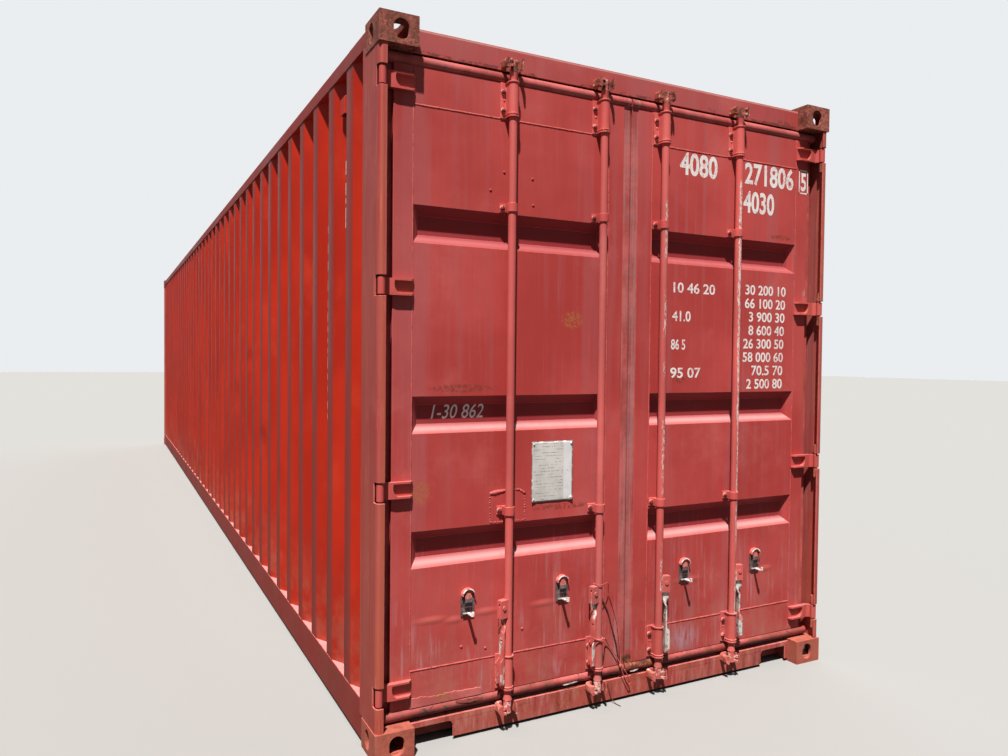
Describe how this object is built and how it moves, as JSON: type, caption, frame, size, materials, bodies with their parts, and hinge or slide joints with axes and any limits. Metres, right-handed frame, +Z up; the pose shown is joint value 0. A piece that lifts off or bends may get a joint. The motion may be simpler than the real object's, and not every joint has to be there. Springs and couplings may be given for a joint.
{
  "type": "shipping container",
  "caption": "Forty foot high-cube steel freight container with corrugated walls, hinged end doors, turning locking bars with cams and lifting handles.",
  "frame": {"origin": "centre of the base on the ground, under the four bottom castings", "axes": "+X along the length towards the doors, +Y across to the right door's hinges, +Z up"},
  "size_m": [12.192, 2.438, 2.896],
  "materials": {
    "painted_steel": "faded red-brown container paint with rust",
    "rusty_casting": "pitted and rusted, with paint left in patches",
    "painted_rubber": "rubber seal painted over in the container's colour",
    "plywood": "worn marine plywood",
    "worn_steel": "galvanised steel with worn paint"
  },
  "bodies": {
    "container": {"top_corner_castings": "rusty_casting", "bottom_corner_castings": "rusty_casting", "front_corner_posts": "painted_steel", "rear_corner_posts": "painted_steel", "rear_post_channels": "painted_steel", "hinge_pins": "rusty_casting", "top_side_rails": "painted_steel", "bottom_side_rails": "painted_steel", "left_side_wall": "painted_steel", "right_side_wall": "painted_steel", "front_wall": "painted_steel", "roof": "painted_steel", "roof_corner_plates": "painted_steel", "front_top_rail": "painted_steel", "front_bottom_rail": "painted_steel", "door_header": "painted_steel", "door_sill": "painted_steel", "floor_boards": "plywood", "cross_members": "painted_steel", "gooseneck_tunnel": "painted_steel", "header_keepers": "rusty_casting", "sill_keepers": "rusty_casting", "side_vents": "painted_steel"},
    "left_door": {"left_door_stiles": "painted_steel", "left_door_rails": "painted_steel", "left_door_panel": "painted_steel", "left_door_seal": "painted_rubber", "left_door_hinges": "painted_steel", "left_door_bar_brackets": "painted_steel", "left_door_handle_catches": "worn_steel"},
    "right_door": {"right_door_stiles": "painted_steel", "right_door_rails": "painted_steel", "right_door_panel": "painted_steel", "right_door_seal": "painted_rubber", "right_door_hinges": "painted_steel", "right_door_bar_brackets": "painted_steel", "right_door_handle_catches": "worn_steel"},
    "left_inner_bar": {"left_inner_locking_bar": "painted_steel"},
    "left_inner_handle_body": {"left_inner_handle": "worn_steel"},
    "left_outer_bar": {"left_outer_locking_bar": "painted_steel"},
    "left_outer_handle_body": {"left_outer_handle": "worn_steel"},
    "right_inner_bar": {"right_inner_locking_bar": "painted_steel"},
    "right_inner_handle_body": {"right_inner_handle": "worn_steel"},
    "right_outer_bar": {"right_outer_locking_bar": "painted_steel"},
    "right_outer_handle_body": {"right_outer_handle": "worn_steel"}
  },
  "joints": [
    {"name": "left_door_hinge", "type": "hinge", "parent": "container", "child": "left_door", "pos_m": [6.072, -1.197, 1.451], "axis": [0, 0, -1], "range_deg": [0, 260]},
    {"name": "right_door_hinge", "type": "hinge", "parent": "container", "child": "right_door", "pos_m": [6.072, 1.197, 1.451], "axis": [0, 0, 1], "range_deg": [0, 260]},
    {"name": "left_inner_bar_turn", "type": "hinge", "parent": "left_door", "child": "left_inner_bar", "pos_m": [6.066, -0.171, 1.451], "axis": [0, 0, -1], "range_deg": [-80, 15]},
    {"name": "left_inner_handle_lift", "type": "hinge", "parent": "left_inner_bar", "child": "left_inner_handle_body", "pos_m": [6.0748, -0.20384, 0.535], "axis": [-0.9659, -0.2588, 0], "range_deg": [0, 90]},
    {"name": "left_outer_bar_turn", "type": "hinge", "parent": "left_door", "child": "left_outer_bar", "pos_m": [6.066, -0.629, 1.451], "axis": [0, 0, -1], "range_deg": [-80, 15]},
    {"name": "left_outer_handle_lift", "type": "hinge", "parent": "left_outer_bar", "child": "left_outer_handle_body", "pos_m": [6.0748, -0.66184, 0.535], "axis": [-0.9659, -0.2588, 0], "range_deg": [0, 90]},
    {"name": "right_inner_bar_turn", "type": "hinge", "parent": "right_door", "child": "right_inner_bar", "pos_m": [6.066, 0.171, 1.451], "axis": [0, 0, 1], "range_deg": [-80, 15]},
    {"name": "right_inner_handle_lift", "type": "hinge", "parent": "right_inner_bar", "child": "right_inner_handle_body", "pos_m": [6.0748, 0.20384, 0.535], "axis": [0.9659, -0.2588, 0], "range_deg": [0, 90]},
    {"name": "right_outer_bar_turn", "type": "hinge", "parent": "right_door", "child": "right_outer_bar", "pos_m": [6.066, 0.629, 1.451], "axis": [0, 0, 1], "range_deg": [-80, 15]},
    {"name": "right_outer_handle_lift", "type": "hinge", "parent": "right_outer_bar", "child": "right_outer_handle_body", "pos_m": [6.0748, 0.66184, 0.535], "axis": [0.9659, -0.2588, 0], "range_deg": [0, 90]}
  ]
}
